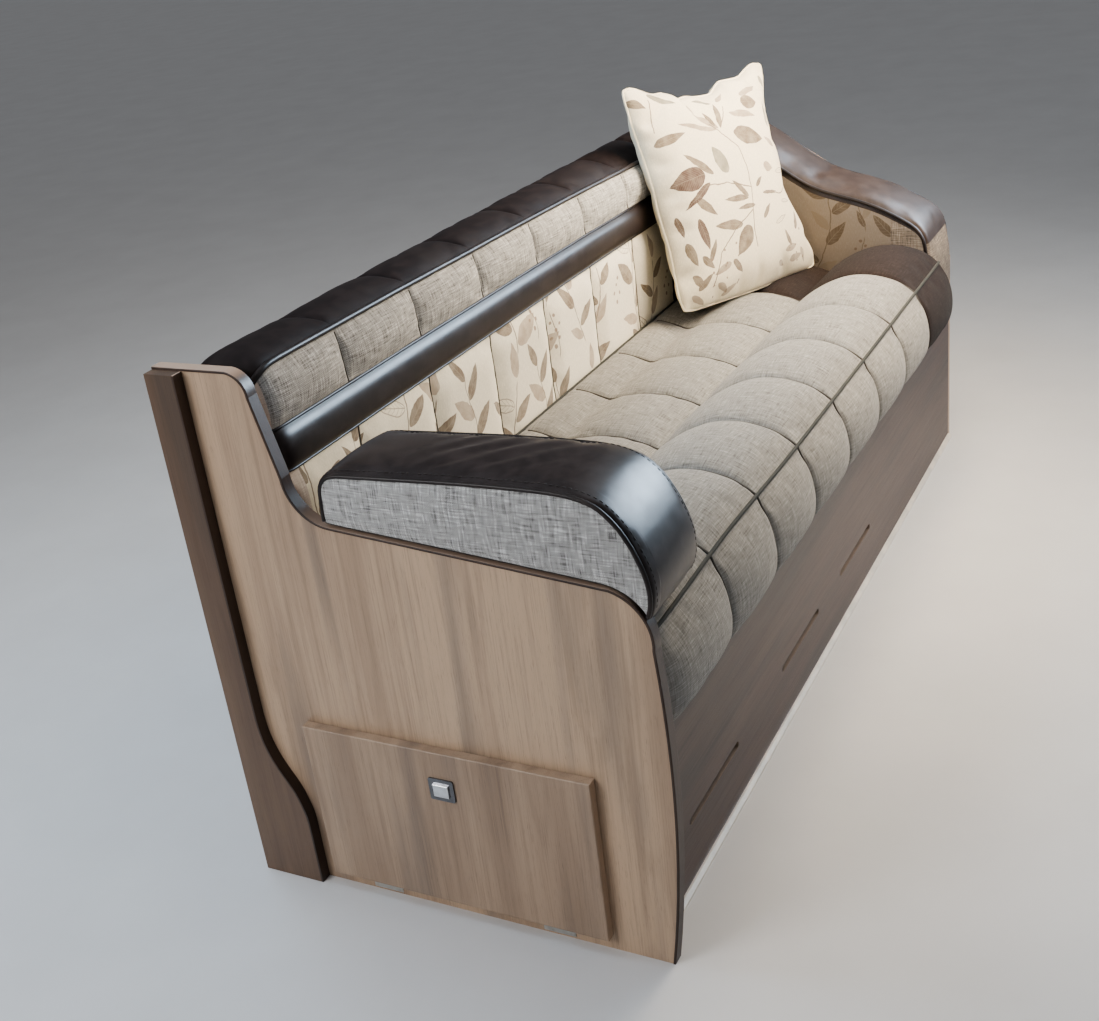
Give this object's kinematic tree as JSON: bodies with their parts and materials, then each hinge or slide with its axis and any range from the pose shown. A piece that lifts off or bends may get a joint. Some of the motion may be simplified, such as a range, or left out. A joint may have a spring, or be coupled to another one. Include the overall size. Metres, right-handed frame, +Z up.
{
  "type": "caravan lounge settee",
  "caption": "Built-in settee with storage base for a touring caravan lounge: oak end panel with drop flap, lift-up slatted base, quilted seat, back, arm and scatter cushions.",
  "frame": {"origin": "middle of the footprint, on the floor", "axes": "+X along the settee from the oak end panel towards the front wall, +Y towards the side wall behind the back cushions, +Z up; the seat faces -Y"},
  "size_m": [1.8724, 0.7039, 0.9372],
  "materials": {
    "oak_laminate": "satin laminate, vertical grain",
    "edge_trim": "dark brown trim",
    "floor_trim": "pale trim",
    "plywood": "raw ply",
    "softwood": "planed timber",
    "beech": "lacquered bent ply",
    "hinge_steel": "zinc plated",
    "latch_chrome": "polished",
    "black_plastic": "matte",
    "tweed_and_print": "woven tweed, leather band, leaf print",
    "leather_brown": "smooth dark brown",
    "print_fabric": "cream cloth with leaf print",
    "seat_fabric": "sand woven cloth",
    "tweed": "grey beige tweed"
  },
  "bodies": {
    "root": {"end_panel": "oak_laminate", "end_panel_edging": "edge_trim", "door_upright": "oak_laminate", "door_upright_edging": "edge_trim", "front_panel": "oak_laminate", "floor_bead": "floor_trim", "far_end_panel": "oak_laminate", "locker_dividers": "plywood", "front_rail": "softwood", "ledge_rail": "softwood", "wall_rail": "softwood", "cross_cleats": "softwood", "floor_batten_front": "softwood", "floor_battens_ends": "softwood", "back_ledge": "plywood", "corner_deck": "plywood", "back_uprights": "softwood", "back_slats": "plywood", "flap_hinges_fixed": "hinge_steel", "seat_hinges_fixed": "hinge_steel", "latch_keeper": "black_plastic", "back_cushion": "tweed_and_print", "corner_cushion": "leather_brown", "corner_bolster": "print_fabric"},
    "flap": {"flap": "oak_laminate", "flap_hinges_moving": "hinge_steel", "latch_plate": "latch_chrome", "latch_button": "latch_chrome", "latch_body": "black_plastic"},
    "seat_frame": {"seat_frame": "plywood", "seat_slats": "beech", "slat_caps": "black_plastic", "seat_hinges_moving": "hinge_steel"},
    "loose_cushions": {"seat_cushion": "seat_fabric", "arm_pad": "tweed", "scatter_cushion": "print_fabric"}
  },
  "joints": [
    {"name": "flap_hinge", "type": "hinge", "parent": "root", "child": "flap", "pos_m": [-0.91775, -0.00905, 0.022], "axis": [0, -1, 0], "range_deg": [0, 88]},
    {"name": "seat_hinge", "type": "hinge", "parent": "root", "child": "seat_frame", "pos_m": [-0.07875, 0.19395, 0.342], "axis": [-1, 0, 0], "range_deg": [0, 55]},
    {"name": "cushion_lift", "type": "slide", "parent": "root", "child": "loose_cushions", "axis": [0, 0, 1], "range_m": [0, 0.5]}
  ],
  "couplings": [
    {"joint": "cushion_lift", "follows": "seat_hinge", "m_per_rad": 0.5}
  ]
}
